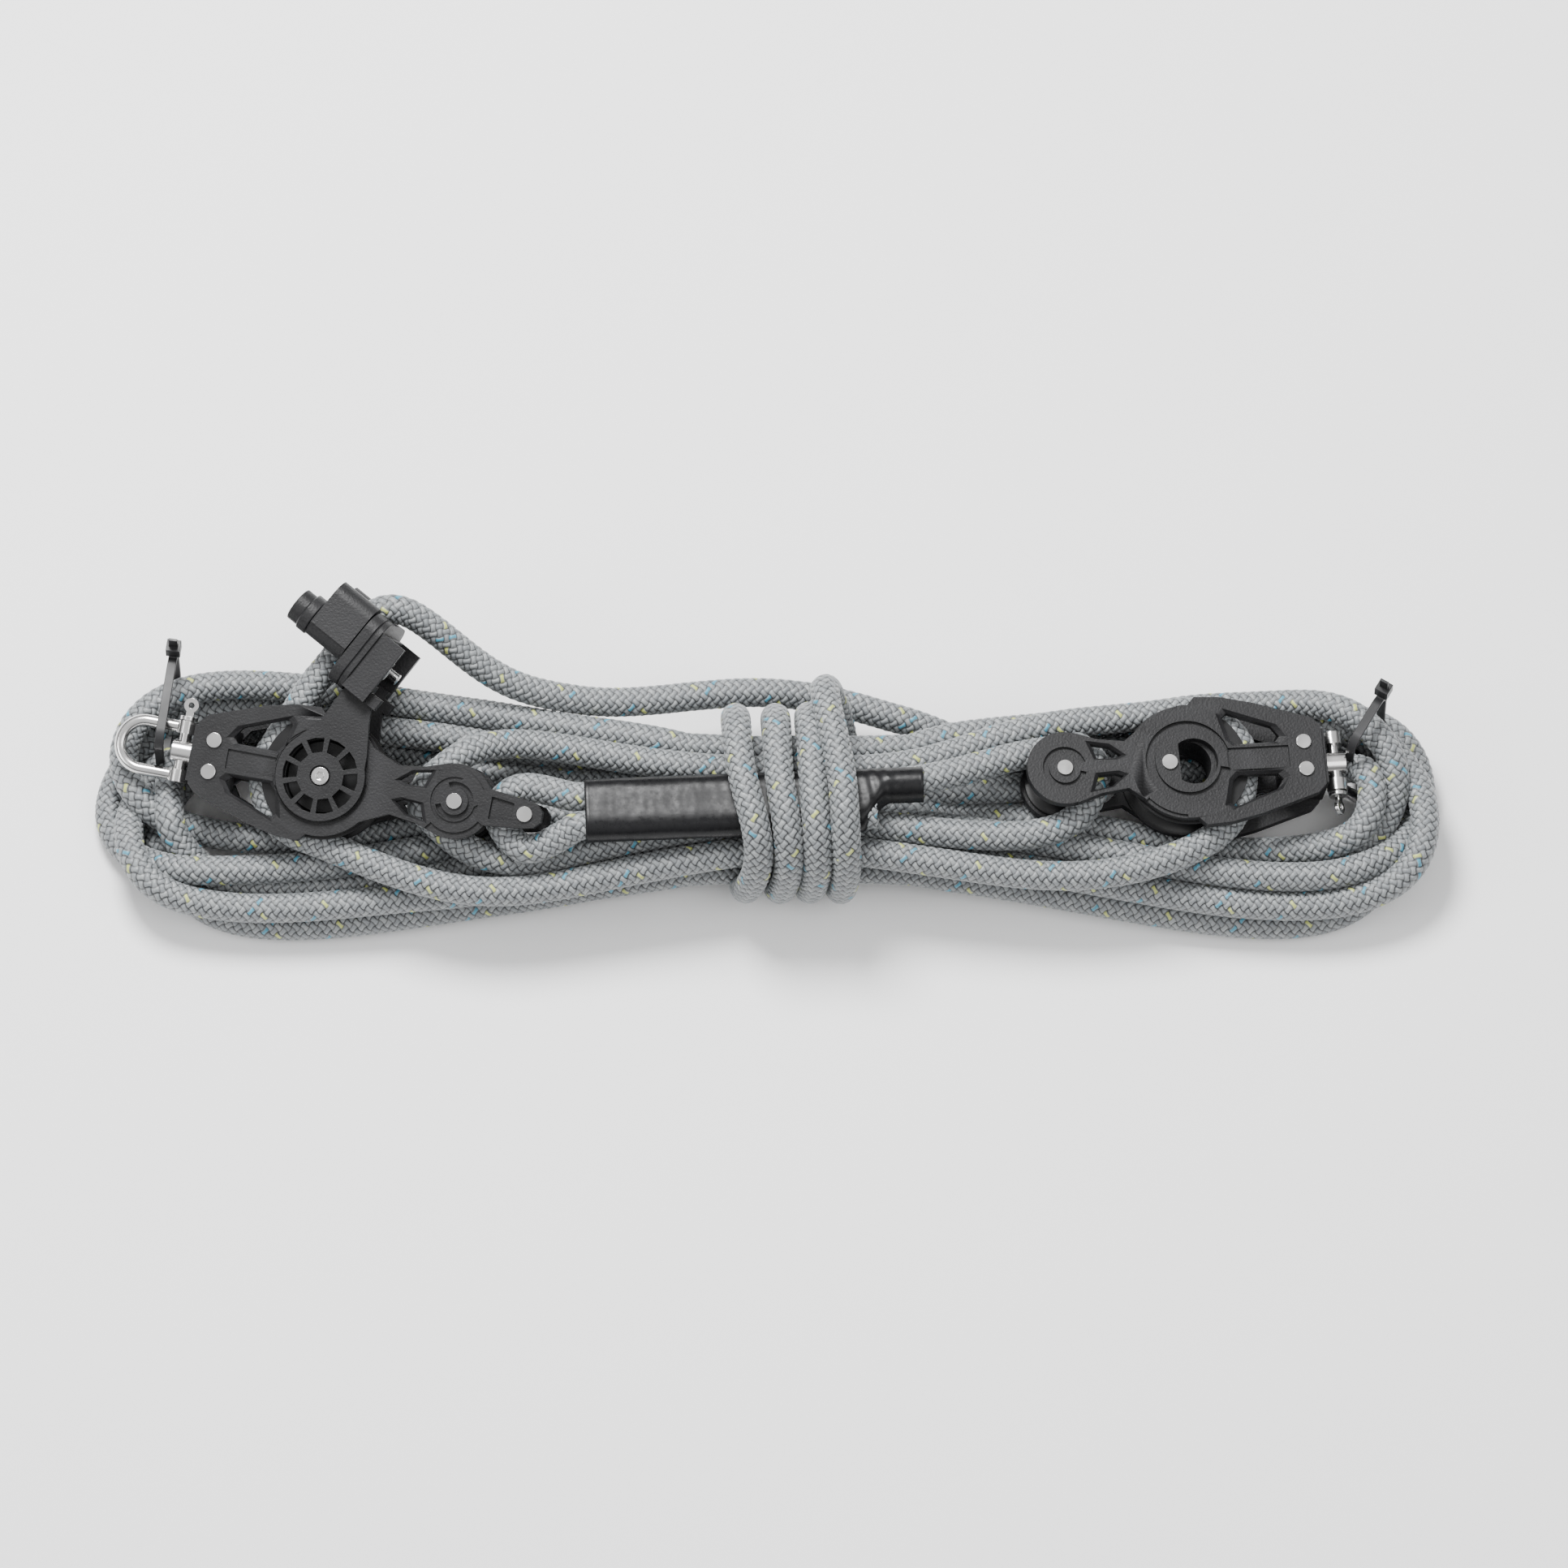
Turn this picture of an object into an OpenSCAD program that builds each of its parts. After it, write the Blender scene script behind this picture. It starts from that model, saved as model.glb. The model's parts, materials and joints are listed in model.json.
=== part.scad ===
// Four-part rope tackle: two fiddle blocks, one with a cam cleat and a becket,
// rove with one braided rope that is folded into a hank and bound with four wraps.
// Millimetres, +Z up. The tackle lies along X on the plane Z = 0.

/* [Rope] */
// Diameter of the braided rope
rope_d = 12; // [11:0.5:12]
// Number of turns that bind the hank
wraps = 4; // [3:1:4]

/* [Blocks] */
// Diameter of the large sheaves
main_sheave_d = 50; // [49:0.5:50]
// Diameter of the small sheaves
small_sheave_d = 28; // [27:0.5:28]
// Distance between the two axles of the cam block
cam_axle_gap = 55; // [55:0.5:57]
// Distance between the two axles of the plain block
plain_axle_gap = 50; // [50:0.5:52]
// Thickness of one cheek
cheek_t = 4; // [3:0.5:4]
// Radius of the axle screw and the axle rivets
axle_r = 3; // [2.5:0.1:3]

/* [Cleat] */
// Distance between the two jaw posts
jaw_gap = 27; // [27:0.5:29]
// Height of one jaw along its post
jaw_h = 18; // [14:1:18]
// Angle between the block's long axis and the rope through the cleat
cleat_angle = 61.9; // [58:0.1:66]

/* [Shackles] */
// Radius of the bent bar of a shackle
bar_r = 2.4; // [2.2:0.1:2.5]
// Radius at which the bar is bent
bow_r = 9.8; // [9.6:0.1:10]
// Radius of a shackle pin
pin_r = 2.45; // [2.3:0.05:2.45]
// Angle at which the plain block's shackle hangs below the block's axis
hang_angle = 55; // [50:1:58]

/* [Hidden] */
$fn = 48;

// Colours
moulded = "#3a3a3c";
steel = "#c9cbce";
cord_grey = "#969b9b";
tie_black = "#1c1c1e";

// Block sizes
gap = 8;
face = gap + cheek_t;
sheave_half = 7.5;
rope_r = rope_d / 2;
groove_r = rope_r + 0.5;
main_r = main_sheave_d / 2;
small_r = small_sheave_d / 2;
main_pitch = main_r + 0.5;
small_pitch = small_r + 1;
fit = 0.05;
rivet_head_r = 3.1;
rivet_head_t = 0.9;
head_rivet_x = -45.4;
head_rivet_y = 6.4;
becket_x = cam_axle_gap + 29;
hub_hole_r = 15.5;
cam_head_x = -53;
plain_head_x = -55;
cam_pin_x = -59.4;
plain_pin_x = -61.2;
race_r = 12;

// Places of the two blocks: the centre of the large sheave, then the lean about
// X, the rise about Y and the turn in the block's own plane
cam_pos = [-177, -11, 42];
cam_lean = 18;
cam_rise = -8;
cam_turn = -11;
plain_pos = [167.3, -6.4, 38];
plain_lean = 2;
plain_rise = 6;
plain_turn = 185.4;

// Cleat sizes, in the arm's frame: X along the rope, Y away from the sheave
rope_line = 28;
post_x = 48;
base_y = 15;
jaw_y = 23;

// The rope's routes between the sheaves
eye_points = [[44, -30.6, 52.3], [10, -31.9, 52.3], [-30, -33.5, 52.3], [-72, -35.3, 52.3],
    [-81, -38, 49.5], [-90, -42, 46.5], [-97.5, -42.5, 45], [-102.5, -38.5, 45],
    [-107, -32, 46.5], [-107.5, -26, 48], [-103, -20.5, 50.3], [-95, -19, 51.8],
    [-84, -21.5, 52.3], [-72, -23.3, 52.3], [-30, -21.5, 52.3], [20, -19.5, 52.3],
    [62, -17.8, 52.3]];
run_one_mid = [[62, -17.8, 52.3], [75, -15, 51.3], [88, -7, 48], [101, 1.5, 45.5]];
run_two_mid = [[-121, 5, 46.5], [-108, 9, 42], [-90, 7, 38.5], [-68, 1, 38.5], [-40, -5, 40],
    [0, -7, 40.5], [40, -6.5, 40.5], [68, -1, 39], [92, 10, 37.5], [118, 15, 38]];
run_three_mid = [[137.5, -24, 38], [132, -34, 38], [121, -37.5, 38], [100, -37, 38],
    [76, -34, 38], [50, -30.5, 38.6], [10, -28.5, 38.9], [-35, -31, 38.3], [-70, -38, 36.5],
    [-95, -46, 35.5], [-116, -48.5, 36], [-130, -42, 38.5]];
run_four_mid = [[190, -34, 33.5], [179, -40, 33], [163, -45, 32.5], [145, -49.5, 32],
    [120, -51.5, 32], [96, -49.5, 34], [70, -44.5, 36.5], [30, -40.5, 38.4], [-10, -41.5, 38.4],
    [-40, -45, 37], [-75, -52.5, 34], [-110, -60, 32.5], [-140, -54, 33.5], [-162, -44, 33.5]];
tail_mid = [[-144.5, 57, 66], [-134, 50, 60], [-126, 42, 54], [-116, 31.5, 47], [-105, 24, 41.5],
    [-92, 19.5, 37], [-68, 21, 33], [-40, 28, 30], [-15, 33, 29], [5, 35, 28], [20, 30, 24],
    [28, 21, 20]];

// Places of the hank's two lobes and of its waist
lobe_left = [-216.8, -12.2];
lobe_left_r = 56.6;
lobe_right = [221.6, -17.1];
lobe_right_r = 51.8;
waist_y = -19;
waist_r = 27.8;
flank_y = -14.5;
flank_r = 33;
waist_low = 12.4;
waist_high = 34.4;
lobe_left_h = 28;
lobe_right_h = 22.8;
wrap_start = -8.6;
wrap_pitch = 11.6;

// ---------- Frames ----------

module on_cam() {
    translate(cam_pos) rotate([cam_lean, 0, 0]) rotate([0, cam_rise, 0])
        rotate([0, 0, cam_turn]) children();
}

module on_plain() {
    translate(plain_pos) rotate([plain_lean, 0, 0]) rotate([0, plain_rise, 0])
        rotate([0, 0, plain_turn]) children();
}

// X along the rope through the cleat, Y along the jaw posts, Z across the block
module on_arm() {
    on_cam() rotate([0, 0, cleat_angle]) children();
}

// The frame of a block's shackle, about its pin
module on_pin(pin_x, down) {
    translate([pin_x, 0, 0]) rotate([0, -down, 0]) children();
}

function turn_x(a) = [[1, 0, 0], [0, cos(a), -sin(a)], [0, sin(a), cos(a)]];
function turn_y(a) = [[cos(a), 0, sin(a)], [0, 1, 0], [-sin(a), 0, cos(a)]];
function turn_z(a) = [[cos(a), -sin(a), 0], [sin(a), cos(a), 0], [0, 0, 1]];
cam_axes = turn_x(cam_lean) * turn_y(cam_rise) * turn_z(cam_turn);
plain_axes = turn_x(plain_lean) * turn_y(plain_rise) * turn_z(plain_turn);
function cam_point(p) = cam_pos + cam_axes * p;
function plain_point(p) = plain_pos + plain_axes * p;
function on_circle(x, r, a) = [x + r * cos(a), r * sin(a), 0];
// A point that lies d further along the straight line that leaves the circle at angle a
function off_circle(x, r, a, d) = on_circle(x, r, a) + d * [-sin(a), cos(a), 0];

// ---------- Shared shapes ----------

module cyl_y(r, from, to) {
    translate([0, to, 0]) rotate([90, 0, 0]) cylinder(r = r, h = to - from);
}

module cyl_x(r, from, to) {
    translate([from, 0, 0]) rotate([0, 90, 0]) cylinder(r = r, h = to - from);
}

module rounded_rect(w, h, r) {
    square([w - 2 * r, h], center = true);
    square([w, h - 2 * r], center = true);
    for (sx = [-1, 1])
        for (sy = [-1, 1])
            translate([sx * (w / 2 - r), sy * (h / 2 - r)]) circle(r = r);
}

function mirrored(pts) = [for (i = [len(pts) - 1:-1:0]) [pts[i].x, -pts[i].y]];

// Outline of a cheek: large sheave at the origin, head towards -X
module cheek_outline(axle_gap, head_x, becket) {
    side = [[head_x, 12.5], [head_x + 3.5, 16], [-28, 23.6], [-15, 26.6], [-5, 27.2], [-2, 24]];
    neck = [[18, 15.5], [axle_gap - 25, 10], [axle_gap - 14, 11.5], [axle_gap - 4, 14.9]];
    circle(r = 24);
    polygon(concat(side, mirrored(side)));
    polygon(concat(neck, mirrored(neck)));
    translate([axle_gap, 0]) circle(r = small_r + 1.2);
    if (becket) {
        arm = [[axle_gap + 5, 10], [axle_gap + 13, 7.5], [becket_x, 5.8], [becket_x + 4.5, 4.8],
            [becket_x + 7, 2]];
        polygon(concat(arm, mirrored(arm)));
    }
}

// The four openings in a cheek that show the sheaves
module cheek_windows(axle_gap) {
    head_window = [[-38, 9], [-36, 6.8], [-20, 6.6], [-17.6, 9], [-15.4, 18], [-17.5, 20],
        [-35, 13.4]];
    gap_window = [[axle_gap - 23.5, 4.4], [axle_gap - 20.5, 3.2], [axle_gap - 13.4, 3.6],
        [axle_gap - 11.2, 9.8], [axle_gap - 18.5, 8.4]];
    for (s = [-1, 1])
        scale([1, s]) {
            polygon(head_window);
            polygon(gap_window);
        }
}

// A groove round an axle, left open over a wedge
module ring_groove(x, r, w, open_at, open_half) {
    translate([x, 0, face - 0.7]) difference() {
        cylinder(r = r + w / 2, h = 1);
        translate([0, 0, -0.5]) cylinder(r = r - w / 2, h = 2);
        rotate([0, 0, open_at]) translate([r, 0, 0.5]) cube([2 * w + 4, open_half * 2, 3],
            center = true);
    }
}

module rivet_bores(xs_ys) {
    for (p = xs_ys)
        translate([p.x, p.y, gap - 1]) cylinder(r = 2 + fit, h = cheek_t + 2);
}

// One cheek of the cam block, on its +Z side
module cam_cheek() {
    difference() {
        translate([0, 0, gap]) linear_extrude(cheek_t) difference() {
            cheek_outline(cam_axle_gap, cam_head_x, true);
            cheek_windows(cam_axle_gap);
            circle(r = hub_hole_r);
        }
        rivet_bores([[head_rivet_x, head_rivet_y], [head_rivet_x, -head_rivet_y]]);
        translate([cam_axle_gap, 0, gap - 1]) cylinder(r = axle_r + fit, h = cheek_t + 2);
        translate([becket_x, 0, gap - 1]) cylinder(r = axle_r + fit, h = cheek_t + 2);
        translate([-39, -3.9, face - 0.5]) cube([19, 7.8, 1]);
        translate([cam_axle_gap + 15.5, -3.6, face - 0.6]) cube([8, 7.2, 1]);
        ring_groove(cam_axle_gap, 9, 1.4, 40, 6);
        translate([0, 0, face - 0.5]) difference() {
            cylinder(r = 19.6, h = 1);
            translate([0, 0, -0.5]) cylinder(r = 18.6, h = 2);
        }
    }
}

// One cheek of the plain block, on its +Z side
module plain_cheek() {
    difference() {
        translate([0, 0, gap]) linear_extrude(cheek_t) difference() {
            cheek_outline(plain_axle_gap, plain_head_x, false);
            cheek_windows(plain_axle_gap);
            difference() {
                translate([-2.5, 0]) circle(r = 9.6);
                translate([3.4, -15]) square([15, 30]);
            }
        }
        rivet_bores([[head_rivet_x - 2, 5.8], [head_rivet_x - 2, -5.8]]);
        translate([7.5, 0, gap - 1]) cylinder(r = axle_r + fit, h = cheek_t + 2);
        translate([plain_axle_gap, 0, gap - 1]) cylinder(r = axle_r + fit, h = cheek_t + 2);
        translate([-41, -4.4, face - 0.5]) cube([25, 8.8, 1]);
        ring_groove(0, 15.4, 2, 180, 9);
        ring_groove(plain_axle_gap, 8.2, 1.4, 180, 5);
    }
}

// The block between the cheeks at the head, bored for the swivel post
module head_block(head_x, rivet_x, rivet_y) {
    difference() {
        union() {
            translate([head_x, -12, -gap]) cube([-38 - head_x, 24, 2 * gap]);
            translate([head_x - 1.4, -11.5, -10.6]) cube([1.4, 23, 21.2]);
        }
        cyl_x(3.6, head_x - 3, -37);
        cyl_x(5.2, -41.5, -37);
        for (s = [-1, 1])
            translate([rivet_x, s * rivet_y, -gap - 1]) cylinder(r = 2 + fit, h = 2 * gap + 2);
    }
}

module sheave(r, pitch, bore_r) {
    rotate_extrude($fn = 96) difference() {
        translate([bore_r, -sheave_half]) square([r - bore_r, 2 * sheave_half]);
        translate([pitch, 0]) circle(r = groove_r);
        for (s = [-1, 1])
            translate([(bore_r + r) / 2 - 0.5, s * sheave_half]) circle(r = 1);
    }
}

// A riveted axle: a shank through both cheeks with a low head on each
module rivet(r, head_r, half) {
    cylinder(r = r, h = 2 * half, center = true);
    for (s = [-1, 1])
        translate([0, 0, s * (half + rivet_head_t / 2)])
            cylinder(r = head_r, h = rivet_head_t, center = true);
}

// The turning post: a shank held in the head by a collar, and an eye for the shackle pin
module swivel_post(head_x, pin_x) {
    difference() {
        union() {
            cyl_x(3.5, head_x - 2, -39);
            cyl_x(5.1, -41.3, -39);
            cyl_x(4.5, pin_x - 4, head_x - 1.7);
        }
        translate([pin_x, 0, 0]) cyl_y(pin_r + fit, -6, 6);
    }
}

// The bent bar with an eye at each end, in the frame of its pin
module shackle_bow() {
    arm_end = -16;
    difference() {
        union() {
            for (s = [-1, 1]) {
                translate([0, s * bow_r, 0]) cyl_x(bar_r, arm_end, -1);
                translate([0, s * bow_r, 0]) cyl_y(4.2, -2.6, bar_r);
            }
            translate([arm_end, 0, 0]) rotate([0, 0, 90])
                rotate_extrude(angle = 180) translate([bow_r, 0]) circle(r = bar_r);
        }
        cyl_y(pin_r + fit, -14, 14);
    }
}

// The pin with its collar and its flat key, which has a hole for a lanyard
module shackle_pin() {
    cyl_y(pin_r, -bow_r - 2.6, bow_r + 2.8);
    cyl_y(3.7, bow_r + 2.8, bow_r + 4.4);
    difference() {
        union() {
            translate([-1.6, bow_r + 4, -0.9]) cube([3.2, 4, 1.8]);
            translate([0, bow_r + 9, 0]) cylinder(r = 3, h = 1.8, center = true);
        }
        translate([0, bow_r + 9, 0]) cylinder(r = 1.2, h = 3, center = true);
    }
}

// ---------- Cam block ----------

module cam_cheek_near() {
    color(moulded) on_cam() cam_cheek();
}

module cam_cheek_far() {
    color(moulded) on_cam() mirror([0, 0, 1]) cam_cheek();
}

module cam_head() {
    color(moulded) on_cam() head_block(cam_head_x, head_rivet_x, head_rivet_y);
}

module cam_main_sheave() {
    color(moulded) on_cam() sheave(main_r, main_pitch, 6.6);
}

module cam_main_bush() {
    color(moulded) on_cam() difference() {
        cylinder(r = 6.5, h = 2 * gap - 0.1, center = true);
        cylinder(r = axle_r + fit, h = 3 * gap, center = true);
    }
}

module cam_axle_screw() {
    color(steel) on_cam() {
        difference() {
            union() {
                cylinder(r = axle_r, h = 2 * face + 4.4, center = true);
                translate([0, 0, face + 1.2]) cylinder(r = 3.6, h = 1.6);
                translate([0, 0, -face - 2.8]) cylinder(r = 4, h = 1.6);
            }
            translate([0, 0, face + 1.6]) cylinder(r = 1.6, h = 3, $fn = 6);
        }
    }
}

module cam_small_sheave() {
    color(moulded) on_cam() translate([cam_axle_gap, 0, 0])
        sheave(small_r, small_pitch, axle_r + fit);
}

module cam_small_axle() {
    color(steel) on_cam() translate([cam_axle_gap, 0, 0]) rivet(axle_r, rivet_head_r, face);
}

module cam_head_rivets() {
    color(steel) on_cam() for (s = [-1, 1])
        translate([head_rivet_x, s * head_rivet_y, 0]) rivet(2, rivet_head_r, face);
}

module becket_pin() {
    color(steel) on_cam() translate([becket_x, 0, 0]) rivet(axle_r, rivet_head_r, face);
}

module cam_swivel() {
    color(steel) on_cam() swivel_post(cam_head_x, cam_pin_x);
}

module cam_shackle_bow() {
    color(steel) on_cam() on_pin(cam_pin_x, 0) shackle_bow();
}

module cam_shackle_pin() {
    color(steel) on_cam() on_pin(cam_pin_x, 0) shackle_pin();
}

// ---------- Cleat ----------

// One leg of the arm, with its spoked hub ring, on the +Z side
module arm_leg() {
    leg_t = 2.4;
    leg = [[4, 17.6], [17.8, 14], [30, 14.6], [37, 14.8], [42, 6], [28.5, -2.4], [18.1, -9.8],
        [4, -17.6]];
    difference() {
        union() {
            translate([0, 0, face + fit]) linear_extrude(leg_t) union() {
                circle(r = 18.2);
                polygon(leg);
            }
            translate([0, 0, gap]) cylinder(r = 8, h = cheek_t + 1);
            translate([34, -1, face + fit]) cube([5, 13, 5]);
        }
        for (i = [0:9])
            rotate([0, 0, 36 * i + 10]) translate([0, 0, face - 1]) linear_extrude(leg_t + 2)
                polygon([[9.4, -2.1], [14.8, -3.6], [15.3, 0], [14.8, 3.6], [9.4, 2.1]]);
        translate([0, 0, gap - 1]) cylinder(r = axle_r + fit, h = 3 * cheek_t);
        translate([0, 0, face + 1.1]) cylinder(r = 4.2, h = 3);
    }
}

module cleat_arm() {
    color(moulded) on_arm() {
        difference() {
            union() {
                arm_leg();
                mirror([0, 0, 1]) arm_leg();
                translate([34, 4, -20.5]) cube([26.5, 11, 41]);
            }
            translate([42, 2, -17.5]) cube([22, 10.5, 35]);
            translate([30, -4, -face + 0.4]) cube([12.5, 16, 2 * face - 0.8]);
            for (s = [-1, 1])
                translate([post_x, 0, s * jaw_gap / 2]) cyl_y(2.5 + fit, 10, 16);
        }
    }
}

module cleat_base() {
    color(moulded) on_arm() difference() {
        union() {
            translate([49, base_y, 0]) rotate([-90, 0, 0]) linear_extrude(7.4)
                rounded_rect(33, 43, 8);
            for (s = [-1, 1])
                translate([62.5, base_y, s * 12]) rotate([-90, 0, 0]) cylinder(r = 3, h = 7.4);
        }
        for (s = [-1, 1])
            translate([post_x, 0, s * jaw_gap / 2]) cyl_y(2.5 + fit, 10, 24);
        translate([49, base_y + 2.4, 0]) rotate([-90, 0, 0]) linear_extrude(0.5) difference() {
            rounded_rect(35, 45, 9);
            rounded_rect(32, 42, 7.5);
        }
        translate([0, rope_line, 0]) cyl_x(rope_r + 0.6, 30, 70);
    }
}

// The jaw on the +Z side: a hub on the post and a toothed lobe towards +X
module jaw() {
    lobe_x = 12;
    difference() {
        translate([post_x, jaw_y, jaw_gap / 2]) rotate([-90, 0, 0]) linear_extrude(jaw_h) union() {
            circle(r = 7.2);
            translate([lobe_x, 0.2]) circle(r = 6.8);
            polygon([[-2, -7.6], [lobe_x, -6.6], [lobe_x, 7], [0, 7.2]]);
        }
        translate([post_x, 0, jaw_gap / 2]) cyl_y(3 + fit, jaw_y - 2, jaw_y + jaw_h + 2);
        translate([post_x, 0, jaw_gap / 2]) cyl_y(5.6, jaw_y - 2, jaw_y + 4);
        for (i = [0:6])
            translate([post_x - 4 + 2.6 * i, 0, jaw_gap / 2 - 7.4]) cyl_y(0.55, jaw_y - 1,
                jaw_y + jaw_h + 1);
    }
}

module jaw_near() {
    color(moulded) on_arm() jaw();
}

module jaw_far() {
    color(moulded) on_arm() mirror([0, 0, 1]) jaw();
}

module jaw_springs() {
    color(steel) on_arm() for (s = [-1, 1])
        translate([post_x, jaw_y + 1.9, s * jaw_gap / 2]) rotate([90, 0, 0])
            rotate_extrude() translate([4.3, 0]) square([0.8, 3.4], center = true);
}

module jaw_caps() {
    top = jaw_y + jaw_h + 0.3;
    color(moulded) on_arm() for (s = [-1, 1])
        translate([post_x, 0, s * jaw_gap / 2]) difference() {
            union() {
                cyl_y(7.8, top, top + 4.4);
                cyl_y(7, top + 4.2, top + 9.6);
            }
            cyl_y(2.5 + fit, top - 1, top + 8);
            cyl_y(4.6, top + 7, top + 11);
        }
}

module cleat_bolts() {
    top = jaw_y + jaw_h + 7.3;
    color(steel) on_arm() for (s = [-1, 1])
        translate([post_x, 0, s * jaw_gap / 2]) {
            cyl_y(2.5, 4.5, top);
            cyl_y(2.95, jaw_y, jaw_y + jaw_h);
            cyl_y(4.4, top, top + 2.2);
        }
}

module cleat_nuts() {
    color(steel) on_arm() for (s = [-1, 1])
        translate([post_x, 12.4, s * jaw_gap / 2]) rotate([90, 0, 0]) difference() {
            cylinder(r = 4.6, h = 3.2, $fn = 6);
            translate([0, 0, -1]) cylinder(r = 2.5 + fit, h = 6);
        }
}

// ---------- Plain block ----------

module plain_cheek_near() {
    color(moulded) on_plain() plain_cheek();
}

module plain_cheek_far() {
    color(moulded) on_plain() mirror([0, 0, 1]) plain_cheek();
}

module plain_head() {
    color(moulded) on_plain() head_block(plain_head_x, head_rivet_x - 2, 5.8);
}

module plain_main_sheave() {
    color(moulded) on_plain() sheave(main_r, main_pitch, race_r + fit);
}

// The hollow race that the large sheave runs on, with a boss for its rivet
module plain_main_race() {
    color(moulded) on_plain() difference() {
        union() {
            difference() {
                cylinder(r = race_r, h = 2 * gap - 0.1, center = true);
                cylinder(r = 9.8, h = 3 * gap, center = true);
            }
            intersection() {
                cylinder(r = race_r - 0.5, h = 2 * gap - 0.1, center = true);
                translate([8.2, 0, 0]) cube([9, 14, 2 * gap - 0.1], center = true);
            }
        }
        translate([7.5, 0, 0]) cylinder(r = axle_r + fit, h = 3 * gap, center = true);
    }
}

module plain_main_rivet() {
    color(steel) on_plain() translate([7.5, 0, 0]) rivet(axle_r, rivet_head_r, face);
}

module plain_small_sheave() {
    color(moulded) on_plain() translate([plain_axle_gap, 0, 0])
        sheave(small_r, small_pitch, axle_r + fit);
}

module plain_small_axle() {
    color(steel) on_plain() translate([plain_axle_gap, 0, 0]) rivet(axle_r, rivet_head_r, face);
}

module plain_head_rivets() {
    color(steel) on_plain() for (s = [-1, 1])
        translate([head_rivet_x - 2, s * 5.8, 0]) rivet(2, rivet_head_r, face);
}

module plain_swivel() {
    color(steel) on_plain() swivel_post(plain_head_x, plain_pin_x);
}

module plain_shackle_bow() {
    color(steel) on_plain() on_pin(plain_pin_x, hang_angle) shackle_bow();
}

module plain_shackle_pin() {
    color(steel) on_plain() on_pin(plain_pin_x, hang_angle) shackle_pin();
}

// ---------- Rope ----------

function bend(a, b, c, d, t) = 0.5 * (2 * b + (c - a) * t + (2 * a - 5 * b + 4 * c - d) * t * t
    + (3 * b - a - 3 * c + d) * t * t * t);

// Points on one smooth curve through the route's own points
function smooth_route(p, steps) = let (n = len(p)) concat(
    [for (i = [0:n - 2]) for (k = [0:steps - 1])
        bend(p[max(i - 1, 0)], p[i], p[i + 1], p[min(i + 2, n - 1)], k / steps)],
    [p[n - 1]]);

function along(p, i) = let (d = p[min(i + 1, len(p) - 1)] - p[max(i - 1, 0)]) d / norm(d);

// A round tube swept along a route
module tube(route, steps = 1, sides = 10) {
    p = smooth_route(route, steps);
    n = len(p);
    rings = [for (i = [0:n - 1]) let (t = along(p, i), u = cross(t, [0, 0, 1]) /
        norm(cross(t, [0, 0, 1])), v = cross(u, t))
        for (k = [0:sides - 1]) p[i] + rope_r * (cos(360 * k / sides) * u
            + sin(360 * k / sides) * v)];
    walls = [for (i = [0:n - 2]) for (k = [0:sides - 1]) let (a = i * sides + k,
        b = i * sides + (k + 1) % sides) [a, b, b + sides, a + sides]];
    near_end = [for (k = [sides - 1:-1:0]) k];
    far_end = [for (k = [0:sides - 1]) (n - 1) * sides + k];
    polyhedron(points = rings, faces = concat(walls, [near_end, far_end]), convexity = 10);
}

// The stretch of rope that lies in a sheave's groove
module rope_arc(x, pitch, from, to) {
    translate([x, 0, 0]) rotate([0, 0, from]) rotate_extrude(angle = to - from)
        translate([pitch, 0]) circle(r = rope_r - fit);
}

// Angles at which the rope meets and leaves the sheaves, in each block's frame
cam_main_in = 266;
cam_main_out = 152;
cam_small_in = 222;
cam_small_out = 128;
plain_main_in = 297;
plain_main_out = 172;
plain_small_in = 270;
plain_small_out = 176;

module rope_in_sheaves() {
    color(cord_grey) {
        on_cam() rope_arc(0, main_pitch, cam_main_out, cam_main_in);
        on_cam() rope_arc(cam_axle_gap, small_pitch, cam_small_out, cam_small_in);
        on_plain() rope_arc(0, main_pitch, plain_main_out, plain_main_in);
        on_plain() rope_arc(plain_axle_gap, small_pitch, plain_small_out, plain_small_in);
    }
}

module rope_eye() {
    color(cord_grey) tube(eye_points);
}

module rope_run_one() {
    x = plain_axle_gap;
    color(cord_grey) tube(concat(run_one_mid,
        [plain_point(off_circle(x, small_pitch, plain_small_in, 6)),
        plain_point(on_circle(x, small_pitch, plain_small_in))]));
}

module rope_run_two() {
    x = cam_axle_gap;
    color(cord_grey) tube(concat(
        [cam_point(on_circle(x, small_pitch, cam_small_out)),
        cam_point(off_circle(x, small_pitch, cam_small_out, -6))], run_two_mid,
        [plain_point(off_circle(0, main_pitch, plain_main_in, 7)),
        plain_point(on_circle(0, main_pitch, plain_main_in))]));
}

module rope_run_three() {
    color(cord_grey) tube(concat(
        [plain_point(on_circle(plain_axle_gap, small_pitch, plain_small_out)),
        plain_point(off_circle(plain_axle_gap, small_pitch, plain_small_out, -6))], run_three_mid,
        [cam_point(off_circle(cam_axle_gap, small_pitch, cam_small_in, 6)),
        cam_point(on_circle(cam_axle_gap, small_pitch, cam_small_in))]));
}

module rope_run_four() {
    color(cord_grey) tube(concat(
        [plain_point(on_circle(0, main_pitch, plain_main_out)), plain_point([-28.4, 11, 0]),
        plain_point([-29.3, 20, 0])], run_four_mid,
        [cam_point(off_circle(0, main_pitch, cam_main_in, 7)),
        cam_point(on_circle(0, main_pitch, cam_main_in))]));
}

// From the large sheave through the jaws and back along the hank
module rope_cleat_run() {
    t = [cos(cleat_angle), sin(cleat_angle), 0];
    s = [-sin(cleat_angle), cos(cleat_angle), 0];
    color(cord_grey) tube(concat(
        [cam_point(on_circle(0, main_pitch, cam_main_out))],
        [for (d = [12, 34, 48, 62, 70]) cam_point(t * d + s * (d < 20 ? 26.2 : rope_line))],
        tail_mid));
}

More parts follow.
